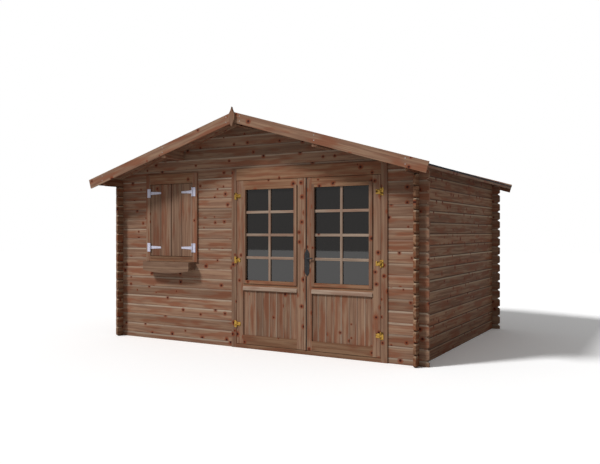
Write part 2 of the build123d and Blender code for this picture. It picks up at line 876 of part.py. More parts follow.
parts["door_posts"] = door_posts()
parts["door_head"] = door_head()
parts["door_sill"] = door_sill()
uprights, cross_pieces, pane = sash_pieces(sash_x, sash_y, sash_z, sash_member_width, door_glass_setback)
leaf = {
    "stiles": leaf_stiles(),
    "rails": leaf_rails(),
    "panel": leaf_panel(),
    "sash_uprights": uprights,
    "sash_rails": cross_pieces,
    "glass": pane,
    "hinge_straps": Compound(children=door_hinge_straps()),
}
for name, piece in leaf.items():
    parts["right_door_" + name] = piece
    parts["left_door_" + name] = across_door(piece)
parts["door_cover_strip"] = cover_strip()
parts["door_handle_plate"] = door_handle_plate()
parts["door_lever"] = door_lever()
plates = door_hinge_plates()
parts["door_hinge_plates"] = Compound(children=plates + [across_door(plate) for plate in plates])

casing_stiles, casing_rails = window_casing()
parts["window_frame_stiles"] = casing_stiles
parts["window_frame_rails"] = casing_rails
window_sash_y = (casing_y[1] - window_sash_thick, casing_y[1])
uprights, cross_pieces, pane = sash_pieces(
    shutter_x, window_sash_y, shutter_z, window_sash_width, window_glass_setback
)
parts["window_sash_uprights"] = uprights
parts["window_sash_rails"] = cross_pieces
parts["window_glass"] = pane
parts["right_shutter"] = shutter()
parts["left_shutter"] = across_window(shutter())
straps = Compound(children=shutter_straps())
parts["right_shutter_straps"] = straps
parts["left_shutter_straps"] = across_window(straps)
plates = shutter_plates()
parts["shutter_hinge_plates"] = Compound(children=plates + [across_window(plate) for plate in plates])
parts["window_box_front"] = window_box_front()
parts["window_box_trough"] = window_box_trough()

# The origin stands under the middle of the whole shed.
front_reach = front_overhang + finial_thick
rear_reach = wall_depth + rear_overhang
place = Pos(0, (front_reach - rear_reach) / 2, 0)

os.makedirs("parts", exist_ok=True)
for name, piece in parts.items():
    export_step(place * piece, "parts/" + name + ".step")
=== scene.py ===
"""A wooden garden shed in brown treated softwood: its finishes, glazing bars, screws, felt laps and studio."""

import logging
import math
from dataclasses import dataclass
from enum import Enum
from typing import Any

import bmesh
import bpy
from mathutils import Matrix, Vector


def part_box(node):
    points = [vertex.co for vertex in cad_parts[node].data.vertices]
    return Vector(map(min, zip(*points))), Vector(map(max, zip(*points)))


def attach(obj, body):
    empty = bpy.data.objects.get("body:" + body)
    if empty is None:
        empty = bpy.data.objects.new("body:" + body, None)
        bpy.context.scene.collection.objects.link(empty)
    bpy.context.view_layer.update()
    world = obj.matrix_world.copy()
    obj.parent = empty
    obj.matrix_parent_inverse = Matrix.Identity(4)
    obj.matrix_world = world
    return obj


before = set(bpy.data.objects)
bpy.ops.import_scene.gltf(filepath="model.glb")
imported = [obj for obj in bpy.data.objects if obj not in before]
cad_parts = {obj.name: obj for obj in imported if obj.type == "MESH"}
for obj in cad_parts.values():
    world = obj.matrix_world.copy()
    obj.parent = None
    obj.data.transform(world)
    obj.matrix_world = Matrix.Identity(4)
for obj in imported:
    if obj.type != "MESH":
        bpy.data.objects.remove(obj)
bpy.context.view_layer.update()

log = logging.getLogger("shed")

Tree = bpy.types.NodeTree
Socket = bpy.types.NodeSocket
Pair = tuple[float, float]
Place = tuple[float, float, float]
Colour = tuple[float, float, float, float]
# Most node inputs take either a fixed value or another node's output.
Number = float | Socket
Tint = Colour | Socket

# The pitch of the CAD roof.
ROOF_SLOPE_DEG = 16.52
# The middles of a door leaf's three hinges above the floor, in metres.
DOOR_HINGE_HEIGHTS = (0.275, 1.015, 1.755)
# How far hinge plates and straps stand out from the wood under them, in metres.
PLATE_THICK = 0.003


def linear(code: str) -> Colour:
    """Turns an sRGB hex colour into the linear colour that a shader takes.

    Args:
        code: The colour as "#RRGGBB".

    Returns:
        Red, green, blue and an alpha of 1.
    """
    channels = [int(code[k:k + 2], 16) / 255 for k in (1, 3, 5)]
    # The curve of the sRGB standard, with its straight foot.
    red, green, blue = (c / 12.92 if c <= 0.04045 else ((c + 0.055) / 1.055) ** 2.4 for c in channels)
    return red, green, blue, 1.0


def per_metre(millimetres: float) -> float:
    """Returns how many times a pattern of this real size repeats in a metre."""
    return 1000.0 / millimetres


def add_node(tree: Tree, kind: str, inputs: dict[int | str, Any] | None = None, **settings: Any) -> bpy.types.Node:
    """Adds a node with its settings, and sets or links its inputs.

    Args:
        tree: The tree that takes the node.
        kind: Blender's name for the kind of node.
        inputs: A value or an output socket for each input, by name or place.
        **settings: The node's own properties.

    Returns:
        The new node.
    """
    node = tree.nodes.new(kind)
    for name, value in settings.items():
        setattr(node, name, value)
    for key, value in (inputs or {}).items():
        if isinstance(value, Socket):
            tree.links.new(value, node.inputs[key])
        else:
            node.inputs[key].default_value = value
    return node


def maths(tree: Tree, operation: str, *values: Number) -> Socket:
    """Returns the result of one sum on numbers or sockets."""
    return add_node(tree, "ShaderNodeMath", dict(enumerate(values)), operation=operation).outputs[0]


def blended(tree: Tree, share: Number, first: Tint, second: Tint) -> Socket:
    """Returns a colour between two others, the first where the share is 0."""
    inputs = {0: share, 6: first, 7: second}
    return add_node(tree, "ShaderNodeMix", inputs, data_type="RGBA").outputs[2]


def layered(tree: Tree, colour: Tint, *layers: tuple[Number, float, str]) -> Socket:
    """Lays colours over another, one after the other.

    Args:
        tree: The material's tree.
        colour: What they are laid over.
        *layers: Where each one lies, how well it covers there, and its colour as "#RRGGBB".

    Returns:
        The finished colour.
    """
    for share, cover, code in layers:
        colour = blended(tree, maths(tree, "MULTIPLY", share, cover), colour, linear(code))
    return colour


def eased(tree: Tree, value: Number, low: Number, high: Number) -> Socket:
    """Returns 0 to 1 as a value goes smoothly from low to high."""
    inputs = {"Value": value, "From Min": low, "From Max": high}
    return add_node(tree, "ShaderNodeMapRange", inputs, interpolation_type="SMOOTHSTEP").outputs[0]


def object_place(tree: Tree) -> Socket:
    """Returns each point's place on its object, in metres."""
    return add_node(tree, "ShaderNodeTexCoord").outputs["Object"]


def cloudy(tree: Tree, size_mm: float, detail: float = 2.0) -> Socket:
    """Spreads cloudy noise over an object.

    Args:
        tree: The material's tree.
        size_mm: The size of its largest marks.
        detail: How many finer layers are drawn on top.

    Returns:
        A number near 0.5 that varies over the object.
    """
    inputs = {"Vector": object_place(tree), "Scale": per_metre(size_mm), "Detail": detail}
    return add_node(tree, "ShaderNodeTexNoise", inputs).outputs[0]


def emboss(tree: Tree, shader: bpy.types.Node, height: Socket, strength: float, depth_mm: float) -> None:
    """Lets a surface shine as if a pattern stood out of it.

    Args:
        tree: The material's tree.
        shader: The material's main shader.
        height: The pattern, from 0 to 1.
        strength: How far the shine follows it.
        depth_mm: How high the pattern is on the real surface.
    """
    bump = add_node(tree, "ShaderNodeBump", {"Strength": strength, "Distance": depth_mm / 1000, "Height": height})
    tree.links.new(bump.outputs[0], shader.inputs["Normal"])


def new_material(name: str) -> tuple[bpy.types.Material, Tree, bpy.types.Node]:
    """Returns a new material with its tree and its main shader."""
    material = bpy.data.materials.new(name)
    material.use_nodes = True
    tree = material.node_tree
    return material, tree, tree.nodes["Principled BSDF"]


class Lay(Enum):
    """How the boards of a piece lie: the axes along the grain, across it and through the board."""

    FRONT_WALL = (0, 2, 1)
    SIDE_WALL = (1, 2, 0)
    UPRIGHT = (2, 0, 1)
    ROOF = (0, 1, 2)
    FORE_AND_AFT = (1, 0, 2)


@dataclass(frozen=True)
class Softwood:
    """Planed spruce with a brown pressure treatment: dull, streaked along the grain, with small red knots.

    Each board is cut from its own stretch of the pattern, so tone, streaks and knots break at every joint. That lets
    the eye see single boards where a wall is one flat face.
    """

    name: str
    lay: Lay
    # A board's width, the place of one joint, and how far the painted shade of a joint reaches. At 0 no joint is drawn.
    board_mm: float
    edge_mm: float = 0.0
    joint_mm: float = 0.0
    # How far the grain is turned about the way from front to back.
    turn_deg: float = 0.0
    light: str = "#91745E"
    middle: str = "#7A5C4A"
    dark: str = "#573D2F"
    red: str = "#7B4932"
    grey: str = "#A08E7D"
    knot: str = "#34100B"
    halo: str = "#7A3517"
    # Each pattern's size along and across the grain. Real year rings are too fine to show, so streaks are drawn wider.
    streak_mm: Pair = (750.0, 26.0)
    fibre_mm: Pair = (260.0, 9.0)
    blush_mm: Pair = (420.0, 70.0)
    fineness: float = 0.55
    knot_gap_mm: float = 160.0
    knot_radius_mm: Pair = (6.0, 16.0)
    knot_scatter: float = 0.95
    # A knot's soft rim lies between these shares of its radius, and its red ring reaches out to halo_reach times it.
    knot_rim: Pair = (1.1, 0.7)
    halo_reach: float = 2.9
    # Streaks give way round a knot by their own width divided by this.
    swell_part: float = 1.5
    # How far apart on the log two boards may be cut, along and across it, in metres.
    log_size: Pair = (17.0, 9.0)
    # The share of knotless places, the strengths of the painted edge highlight and painted joint shade, and the least
    # brightness.
    bare_share: float = 0.5
    bleach: float = 0.0
    soil: float = 0.3
    value: float = 0.83
    # Gives this finish other boards than the rest.
    seed: float = 0.0
    # The stretch of each pattern, or of a board's width, over which its colour comes in.
    streak_band: Pair = (0.38, 0.62)
    blush_band: Pair = (0.46, 0.64)
    fibre_band: Pair = (0.54, 0.74)
    bleach_band: Pair = (0.78, 0.92)
    bleach_least: float = 0.35
    joint_core: float = 0.3
    # How well each colour covers what is under it, and how far single boards differ.
    red_cover: float = 0.68
    fibre_cover: float = 0.5
    halo_cover: float = 0.75
    knot_cover: float = 0.95
    red_spread: float = 0.25
    tone_spread: float = 0.34
    # The dull shine of treated wood, a little duller in its pale streaks.
    shine: float = 0.15
    roughness: float = 0.58
    roughness_spread: float = 0.22
    fibre_height: float = 0.6
    knot_height: float = 0.5
    relief: float = 0.35
    relief_mm: float = 1.2

    def board_place(self, tree: Tree) -> dict[str, Socket]:
        """Finds the board under each point and where the point lies on it.

        Args:
            tree: The material's tree.

        Returns:
            The share across the board, the distance to its joint in millimetres, three random numbers for it, and the
            point's place on the log.
        """
        place = object_place(tree)
        if self.turn_deg:
            turn = (0.0, math.radians(self.turn_deg), 0.0)
            place = add_node(tree, "ShaderNodeMapping", {"Vector": place, "Rotation": turn}).outputs[0]
        axes = add_node(tree, "ShaderNodeSeparateXYZ", {0: place}).outputs
        along, across, through = (axes[k] for k in self.lay.value)
        counted = maths(tree, "DIVIDE", maths(tree, "SUBTRACT", across, self.edge_mm / 1000), self.board_mm / 1000)
        number = maths(tree, "ADD", maths(tree, "FLOOR", counted), self.seed)
        chance = add_node(tree, "ShaderNodeTexWhiteNoise", {"W": number}, noise_dimensions="1D").outputs["Color"]
        chances = add_node(tree, "ShaderNodeSeparateColor", {0: chance}).outputs
        return {
            "share": maths(tree, "FRACT", counted),
            "joint": maths(tree, "MULTIPLY", maths(tree, "PINGPONG", counted, 0.5), self.board_mm),
            "tone": chances[0],
            "tint": chances[1],
            "edge": chances[2],
            "along": maths(tree, "MULTIPLY_ADD", chances[0], self.log_size[0], along),
            "across": maths(tree, "MULTIPLY_ADD", chances[1], self.log_size[1], across),
            "through": through,
        }

    def knots(self, tree: Tree, place: dict[str, Socket]) -> tuple[Socket, Socket]:
        """Spreads round knots over the boards.

        Args:
            tree: The material's tree.
            place: What board_place gives.

        Returns:
            How far a point is inside a knot, and inside the reddened wood round it.
        """
        flat = add_node(tree, "ShaderNodeCombineXYZ", {0: place["along"], 1: place["across"]}).outputs[0]
        inputs = {"Vector": flat, "Scale": per_metre(self.knot_gap_mm), "Randomness": self.knot_scatter}
        cells = add_node(tree, "ShaderNodeTexVoronoi", inputs, voronoi_dimensions="2D").outputs
        chance = add_node(tree, "ShaderNodeSeparateColor", {0: cells["Color"]}).outputs
        low, high = self.knot_radius_mm
        radius = maths(tree, "MULTIPLY_ADD", chance[1], (high - low) / self.knot_gap_mm, low / self.knot_gap_mm)
        there = maths(tree, "GREATER_THAN", chance[0], self.bare_share)
        outer, inner, reach = (maths(tree, "MULTIPLY", radius, size) for size in (*self.knot_rim, self.halo_reach))
        knot = eased(tree, cells["Distance"], outer, inner)
        halo = eased(tree, cells["Distance"], reach, radius)
        return maths(tree, "MULTIPLY", knot, there), maths(tree, "MULTIPLY", halo, there)

    def streaks(
        self, tree: Tree, place: dict[str, Socket], bend: Socket, size: Pair, detail: float
    ) -> Socket:
        """Draws streaks that run along the grain and swell round the knots.

        Args:
            tree: The material's tree.
            place: What board_place gives.
            bend: How far a point is inside the wood round a knot.
            size: A streak's length and width, in millimetres.
            detail: How many finer layers are drawn on top.

        Returns:
            A number near 0.5 that varies over the wood.
        """
        length, width = size
        bent = maths(tree, "MULTIPLY_ADD", bend, width / (1000 * self.swell_part), place["across"])
        spans = ((place["along"], length), (bent, width), (place["through"], width))
        counts = {k: maths(tree, "MULTIPLY", way, per_metre(span)) for k, (way, span) in enumerate(spans)}
        vector = add_node(tree, "ShaderNodeCombineXYZ", counts).outputs[0]
        noise = {"Vector": vector, "Scale": 1.0, "Detail": detail, "Roughness": self.fineness}
        return add_node(tree, "ShaderNodeTexNoise", noise).outputs[0]

    def build(self) -> bpy.types.Material:
        """Makes the material.

        Returns:
            The material, under this finish's name.
        """
        material, tree, shader = new_material(self.name)
        place = self.board_place(tree)
        knot, halo = self.knots(tree, place)
        streak = self.streaks(tree, place, halo, self.streak_mm, 3.0)
        fibre = self.streaks(tree, place, halo, self.fibre_mm, 2.0)
        blush = self.streaks(tree, place, halo, self.blush_mm, 2.0)
        board_red = maths(tree, "MULTIPLY", place["tint"], self.red_spread)
        reddened = maths(tree, "ADD", eased(tree, blush, *self.blush_band), board_red)
        # Painted highlight: a pale band along each board's upper edge, stronger on some boards than on others.
        often = maths(tree, "MULTIPLY_ADD", place["edge"], 1 - self.bleach_least, self.bleach_least)
        highlighted_edges = maths(tree, "MULTIPLY", eased(tree, place["share"], *self.bleach_band), often)
        # Painted shade: the wood darkens towards each joint between boards.
        shaded_joints = eased(tree, place["joint"], self.joint_mm, self.joint_core * self.joint_mm) if self.joint_mm else 0.0
        colour = layered(
            tree,
            blended(tree, eased(tree, streak, *self.streak_band), linear(self.middle), linear(self.light)),
            (reddened, self.red_cover, self.red),
            (highlighted_edges, self.bleach, self.grey),
            (eased(tree, fibre, *self.fibre_band), self.fibre_cover, self.dark),
            (shaded_joints, self.soil, self.dark),
        )
        value = maths(tree, "MULTIPLY_ADD", place["tone"], self.tone_spread, self.value)
        toned = add_node(tree, "ShaderNodeHueSaturation", {"Value": value, "Color": colour}).outputs[0]
        knotty = layered(tree, toned, (halo, self.halo_cover, self.halo), (knot, self.knot_cover, self.knot))
        tree.links.new(knotty, shader.inputs["Base Color"])
        roughness = maths(tree, "MULTIPLY_ADD", streak, self.roughness_spread, self.roughness)
        tree.links.new(roughness, shader.inputs["Roughness"])
        shader.inputs["Specular IOR Level"].default_value = self.shine
        raised = (maths(tree, "MULTIPLY", fibre, self.fibre_height), maths(tree, "MULTIPLY", knot, self.knot_height))
        emboss(tree, shader, maths(tree, "ADD", *raised), self.relief, self.relief_mm)
        return material


@dataclass(frozen=True)
class Felt:
    """Bitumen felt faced with mineral grit: nearly black, quite matt, speckled.

    The speckle and the wide patches keep a slope from looking like one flat black shape.
    """

    name: str = "mineral_felt"
    ground: str = "#2B2A2B"
    grit: str = "#56565A"
    # The real grit is about 1.5 mm, too fine to show, so it is drawn at 7 mm.
    grit_mm: float = 7.0
    patch_mm: float = 420.0
    grit_band: Pair = (0.42, 0.66)
    patch_band: Pair = (0.2, 0.8)
    shine: float = 0.2
    roughness: float = 0.95
    relief: float = 0.5
    relief_mm: float = 1.0

    def build(self) -> bpy.types.Material:
        """Makes the material.

        Returns:
            The material, under this finish's name.
        """
        material, tree, shader = new_material(self.name)
        grit = cloudy(tree, self.grit_mm)
        patches = eased(tree, cloudy(tree, self.patch_mm, 3.0), *self.patch_band)
        share = maths(tree, "MULTIPLY", eased(tree, grit, *self.grit_band), patches)
        tree.links.new(blended(tree, share, linear(self.ground), linear(self.grit)), shader.inputs["Base Color"])
        shader.inputs["Roughness"].default_value = self.roughness
        shader.inputs["Specular IOR Level"].default_value = self.shine
        emboss(tree, shader, grit, self.relief, self.relief_mm)
        return material


@dataclass(frozen=True)
class Glass:
    """Clear float glass, 4 mm thick: nearly opaque, its dark colour painted shade of the unlit inside, which shows
    through a little, with faint waves in its shine.

    The shine is strong because the studio's mirrored floor is dim. Together they look like a weak shine of a bright
    floor, with less noise.
    """

    name: str = "float_glass"
    # Painted shade: the nearly opaque pane takes this dark colour for the unlit inside.
    tint: str = "#1B1816"
    refraction: float = 1.55
    shine: float = 1.0
    cover: float = 0.93
    wave_mm: float = 260.0
    roughness: float = 0.01
    roughness_spread: float = 0.02
    relief: float = 0.02
    relief_mm: float = 0.5

    def build(self) -> bpy.types.Material:
        """Makes the material.

        Returns:
            The material, under this finish's name.
        """
        material, tree, shader = new_material(self.name)
        shader.inputs["Base Color"].default_value = linear(self.tint)
        shader.inputs["IOR"].default_value = self.refraction
        shader.inputs["Specular IOR Level"].default_value = self.shine
        shader.inputs["Alpha"].default_value = self.cover
        wave = cloudy(tree, self.wave_mm)
        roughness = maths(tree, "MULTIPLY_ADD", wave, self.roughness_spread, self.roughness)
        tree.links.new(roughness, shader.inputs["Roughness"])
        emboss(tree, shader, wave, self.relief, self.relief_mm)
        return material


@dataclass(frozen=True)
class Metal:
    """A worked metal or its paint, or the matt black of a painted shade strip: its colour and gloss are broken by the
    marks that working left.
    """

    name: str
    colour: str
    worn: str
    metallic: float
    roughness: float
    mark_mm: float
    depth_mm: float
    worn_band: Pair = (0.47, 0.66)
    roughness_spread: float = 0.2
    relief: float = 0.3

    def build(self) -> bpy.types.Material:
        """Makes the material.

        Returns:
            The material, under this finish's name.
        """
        material, tree, shader = new_material(self.name)
        marks = cloudy(tree, self.mark_mm, 3.0)
        colour = blended(tree, eased(tree, marks, *self.worn_band), linear(self.colour), linear(self.worn))
        tree.links.new(colour, shader.inputs["Base Color"])
        shader.inputs["Metallic"].default_value = self.metallic
        least = self.roughness - self.roughness_spread / 2
        roughness = maths(tree, "MULTIPLY_ADD", marks, self.roughness_spread, least)
        tree.links.new(roughness, shader.inputs["Roughness"])
        emboss(tree, shader, marks, self.relief, self.depth_mm)
        return material


class Finishes:
    """Every finish of the shed, each made once."""

    def __init__(self) -> None:
        """Makes the materials."""
        woods = (*self.wall_and_roof_woods(), *self.door_woods(), *self.window_woods())
        self.made = {kind.name: kind.build() for kind in (*woods, *self.metals(), Felt(), Glass())}

    @staticmethod
    def wall_and_roof_woods() -> tuple[Softwood, ...]:
        """Returns the woods of the walls and the roof."""
        return (
            # A painted highlight beside each joint of painted shade is what the eye counts the sunlit boards by.
            Softwood("spruce_front_boards", Lay.FRONT_WALL, 120.0, 60.0, joint_mm=5.0, bleach=0.9, value=0.87),
            # A copy with painted shade for the shaded side: a deeper brown, painted edge highlights, and wide joints of
            # painted shade that stay dark at a slant.
            Softwood(
                "spruce_side_boards", Lay.SIDE_WALL, 120.0, joint_mm=9.0, seed=40.0, bare_share=0.42, bleach=1.0,
                soil=0.85, value=0.80, light="#94735A", middle="#714E37", dark="#4A3022", grey="#B59F86", red="#7C4529",
            ),
            # Whole timbers, so each has one long pattern and no joint.
            Softwood("spruce_purlins", Lay.FORE_AND_AFT, 500.0, 250.0, seed=80.0),
            # Narrow boards with fine joints of painted shade, as they are seen from under the eaves.
            Softwood("spruce_roof_boards", Lay.ROOF, 96.0, -1742.7, joint_mm=4.0, seed=90.0),
            # Grain that follows each slope, so that the barge boards look sawn to length and not cut from a sheet.
            Softwood("spruce_right_barges", Lay.FRONT_WALL, 1000.0, turn_deg=-ROOF_SLOPE_DEG, seed=11.0),
            Softwood("spruce_left_barges", Lay.FRONT_WALL, 1000.0, turn_deg=ROOF_SLOPE_DEG, seed=17.0),
            # Upright grain on a small point, dark against the sky.
            Softwood("spruce_finial", Lay.UPRIGHT, 1000.0, -500.0, seed=5.0),
        )

    @staticmethod
    def door_woods() -> tuple[Softwood, ...]:
        """Returns the woods of the door frame and its leaves."""
        panel_board_mm = 91.69
        # Clear boards, darker than the frame round them, with fine joints of painted shade and painted edge highlights.
        panel = {"joint_mm": 3.0, "bleach": 0.7, "bare_share": 0.8, "value": 0.74}
        # Planed bars that catch the light, pale before dark glass: their pale colour is partly the wood's and partly a
        # painted highlight.
        bars = {"light": "#AC9684", "middle": "#95806F", "red": "#92705E", "bare_share": 0.8, "value": 0.8}
        return (
            # Posts and stiles are full of knots: rows of dark red dots down the doors.
            Softwood(
                "spruce_posts", Lay.UPRIGHT, 1000.0, 500.0, seed=21.0, knot_gap_mm=130.0, knot_radius_mm=(8.0, 16.0),
                bare_share=0.4, value=0.81,
            ),
            Softwood(
                "spruce_stiles", Lay.UPRIGHT, 800.0, 716.5, seed=31.0, knot_gap_mm=130.0, knot_radius_mm=(9.0, 17.0),
                bare_share=0.3, value=0.83,
            ),
            Softwood("spruce_sash_uprights", Lay.UPRIGHT, 300.0, 716.5, seed=51.0, bare_share=0.6, value=0.79),
            # Rails are warmer than the stiles beside them, so that the joints between the two show.
            Softwood(
                "spruce_rails", Lay.FRONT_WALL, 400.0, 200.0, seed=61.0, bare_share=0.6, value=0.77,
                light="#916F55", middle="#7C573F",
            ),
            Softwood("spruce_right_panel", Lay.UPRIGHT, panel_board_mm, 800.5, seed=71.0, **panel),
            Softwood("spruce_left_panel", Lay.UPRIGHT, panel_board_mm, -101.0, seed=77.0, **panel),
            Softwood("spruce_upright_bars", Lay.UPRIGHT, 300.0, 716.5, seed=55.0, **bars),
            Softwood("spruce_cross_bars", Lay.FRONT_WALL, 400.0, 200.0, seed=58.0, **bars),
            # One clean strip, paler than the stiles as a painted highlight of its lit front, which draws the line
            # between the leaves.
            Softwood(
                "spruce_cover_strip", Lay.UPRIGHT, 500.0, 500.0, seed=3.0, bare_share=0.95,
                light="#A38B76", middle="#8A715D",
            ),
        )

    @staticmethod
    def window_woods() -> tuple[Softwood, ...]:
        """Returns the woods of the window, its box and its shutters."""
        # Boards with hardly a knot, open joints of painted shade and a faint painted edge highlight.
        shutter = {"joint_mm": 6.0, "bare_share": 0.88, "bleach": 0.3, "soil": 0.85, "value": 0.79}
        return (
            # Plain brown without red patches, quiet under the white straps.
            Softwood("spruce_window_box", Lay.FRONT_WALL, 400.0, 700.0, seed=63.0, red="#7A5C4A", bare_share=0.8),
            Softwood("spruce_window_stiles", Lay.UPRIGHT, 400.0, -1400.0, seed=83.0),
            Softwood("spruce_right_shutter", Lay.UPRIGHT, 164.0, -1169.0, seed=91.0, **shutter),
            Softwood("spruce_left_shutter", Lay.UPRIGHT, 164.0, -1505.0, seed=97.0, **shutter),
        )

    @staticmethod
    def metals() -> tuple[Metal, ...]:
        """Returns the metals and the black of the painted shade strip."""
        return (
            # Yellow glints at the doors' outer edges, broken by near black.
            Metal("polished_brass", "#CFA451", "#4A3114", 1.0, 0.34, 20.0, 0.3),
            # A dull black shape on pale wood.
            Metal("forged_iron", "#1E1E20", "#343437", 0.3, 0.6, 14.0, 0.6),
            # The brightest marks on the front, a little blue.
            Metal("white_enamelled_steel", "#CDCBDC", "#B8B6C8", 0.0, 0.35, 20.0, 0.2),
            # A thin matt black line of painted shade beside the cover strip, in the gap between the leaves.
            Metal("black_rubber", "#1B1A1A", "#2C2A29", 0.0, 0.7, 6.0, 0.2),
            # Pale grey dots on felt and barge boards.
            Metal("galvanised_steel", "#C4C7C9", "#9A9DA0", 0.9, 0.5, 12.0, 0.2),
        )

    def dress(self, finish: str, *nodes: str) -> None:
        """Gives CAD pieces of the frame their finish."""
        for node in nodes:
            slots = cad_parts[node].data.materials
            slots.clear()
            slots.append(self.made[finish])
            log.info("%s is finished in %s", node, finish)


class Side(Enum):
    """A side of the shed as seen from the front, as the sign of its places across."""

    RIGHT = 1
    LEFT = -1

    @property
    def word(self) -> str:
        """The side as it stands in the names of nodes."""
        return self.name.lower()


class Facing(Enum):
    """Which way a screw or nail head looks, as the turn that takes it there from upwards."""

    FRONT = (math.pi / 2, 0.0, 0.0)
    RIGHT_SLOPE = (0.0, math.radians(ROOF_SLOPE_DEG), 0.0)
    LEFT_SLOPE = (0.0, -math.radians(ROOF_SLOPE_DEG), 0.0)


def new_object(name: str, mesh: bpy.types.Mesh) -> bpy.types.Object:
    """Returns a new object in the scene for a mesh."""
    thing = bpy.data.objects.new(name, mesh)
    bpy.context.scene.collection.objects.link(thing)
    return thing


def flattened(thing: bpy.types.Object) -> bpy.types.Mesh:
    """Returns an object's mesh with its modifiers worked in."""
    bpy.context.view_layer.update()
    graph = bpy.context.evaluated_depsgraph_get()
    return bpy.data.meshes.new_from_object(thing.evaluated_get(graph))


def closed_mesh(name: str, form: bmesh.types.BMesh) -> bpy.types.Mesh:
    """Turns a closed form into a mesh with its faces outwards, and frees the form."""
    bmesh.ops.recalc_face_normals(form, faces=form.faces)
    mesh = bpy.data.meshes.new(name)
    form.to_mesh(mesh)
    form.free()
    return mesh


def prism(corners: list[Vector], length: Vector) -> bpy.types.Mesh:
    """Makes a closed prism with its faces outwards.

    Args:
        corners: The corners of one end, in order.
        length: The way and the distance that the end is drawn out.

    Returns:
        The mesh.
    """
    form = bmesh.new()
    end = form.faces.new([form.verts.new(corner) for corner in corners])
    drawn = bmesh.ops.extrude_face_region(form, geom=[end])["geom"]
    moved = [item for item in drawn if isinstance(item, bmesh.types.BMVert)]
    bmesh.ops.translate(form, verts=moved, vec=length)
    return closed_mesh("prism", form)


@dataclass(frozen=True)
class TurnedHead:
    """The domed head of a screw or nail, turned about +Z."""

    name: str
    radius: float
    height: float
    slotted: bool
    sides: int = 12
    # The rings of the dome from its foot up, as shares of the radius and of the height.
    dome: tuple[Pair, ...] = ((1.0, 0.0), (0.95, 0.45), (0.7, 0.85), (0.35, 1.0))
    # Half the slot's width and its reach, as shares of the radius, and its floor, as a share of the height.
    slot_half: float = 0.13
    slot_reach: float = 1.2
    slot_floor: float = 0.5

    def domed(self) -> bpy.types.Mesh:
        """Makes the head's dome, closed at its foot."""
        angles = [2 * math.pi * k / self.sides for k in range(self.sides)]
        form = bmesh.new()
        rings = []
        for share, lift in self.dome:
            radius, height = self.radius * share, self.height * lift
            rings.append([form.verts.new((radius * math.cos(a), radius * math.sin(a), height)) for a in angles])
        for lower, upper in zip(rings, rings[1:]):
            for k in range(self.sides):
                after = (k + 1) % self.sides
                form.faces.new((lower[k], lower[after], upper[after], upper[k]))
        form.faces.new(rings[-1])
        form.faces.new(rings[0][::-1])
        return closed_mesh(self.name, form)

    def cut_slot(self, head: bpy.types.Object) -> None:
        """Cuts a driver's slot across the dome."""
        half, reach = self.slot_half * self.radius, self.slot_reach * self.radius
        floor, above = self.slot_floor * self.height, 2 * self.height
        section = ((-half, floor), (half, floor), (half, above), (-half, above))
        corners = [Vector((-reach, y, z)) for y, z in section]
        cutter = new_object("slot_cutter", prism(corners, Vector((2 * reach, 0.0, 0.0))))
        head.modifiers.new("slot", "BOOLEAN").object = cutter
        head.data = flattened(head)
        head.modifiers.clear()
        bpy.data.objects.remove(cutter)

    def build(self) -> bpy.types.Object:
        """Makes the head as an object to copy.

        Returns:
            The object, which main removes once every copy is made.
        """
        head = new_object(self.name, self.domed())
        if self.slotted:
            self.cut_slot(head)
        return head


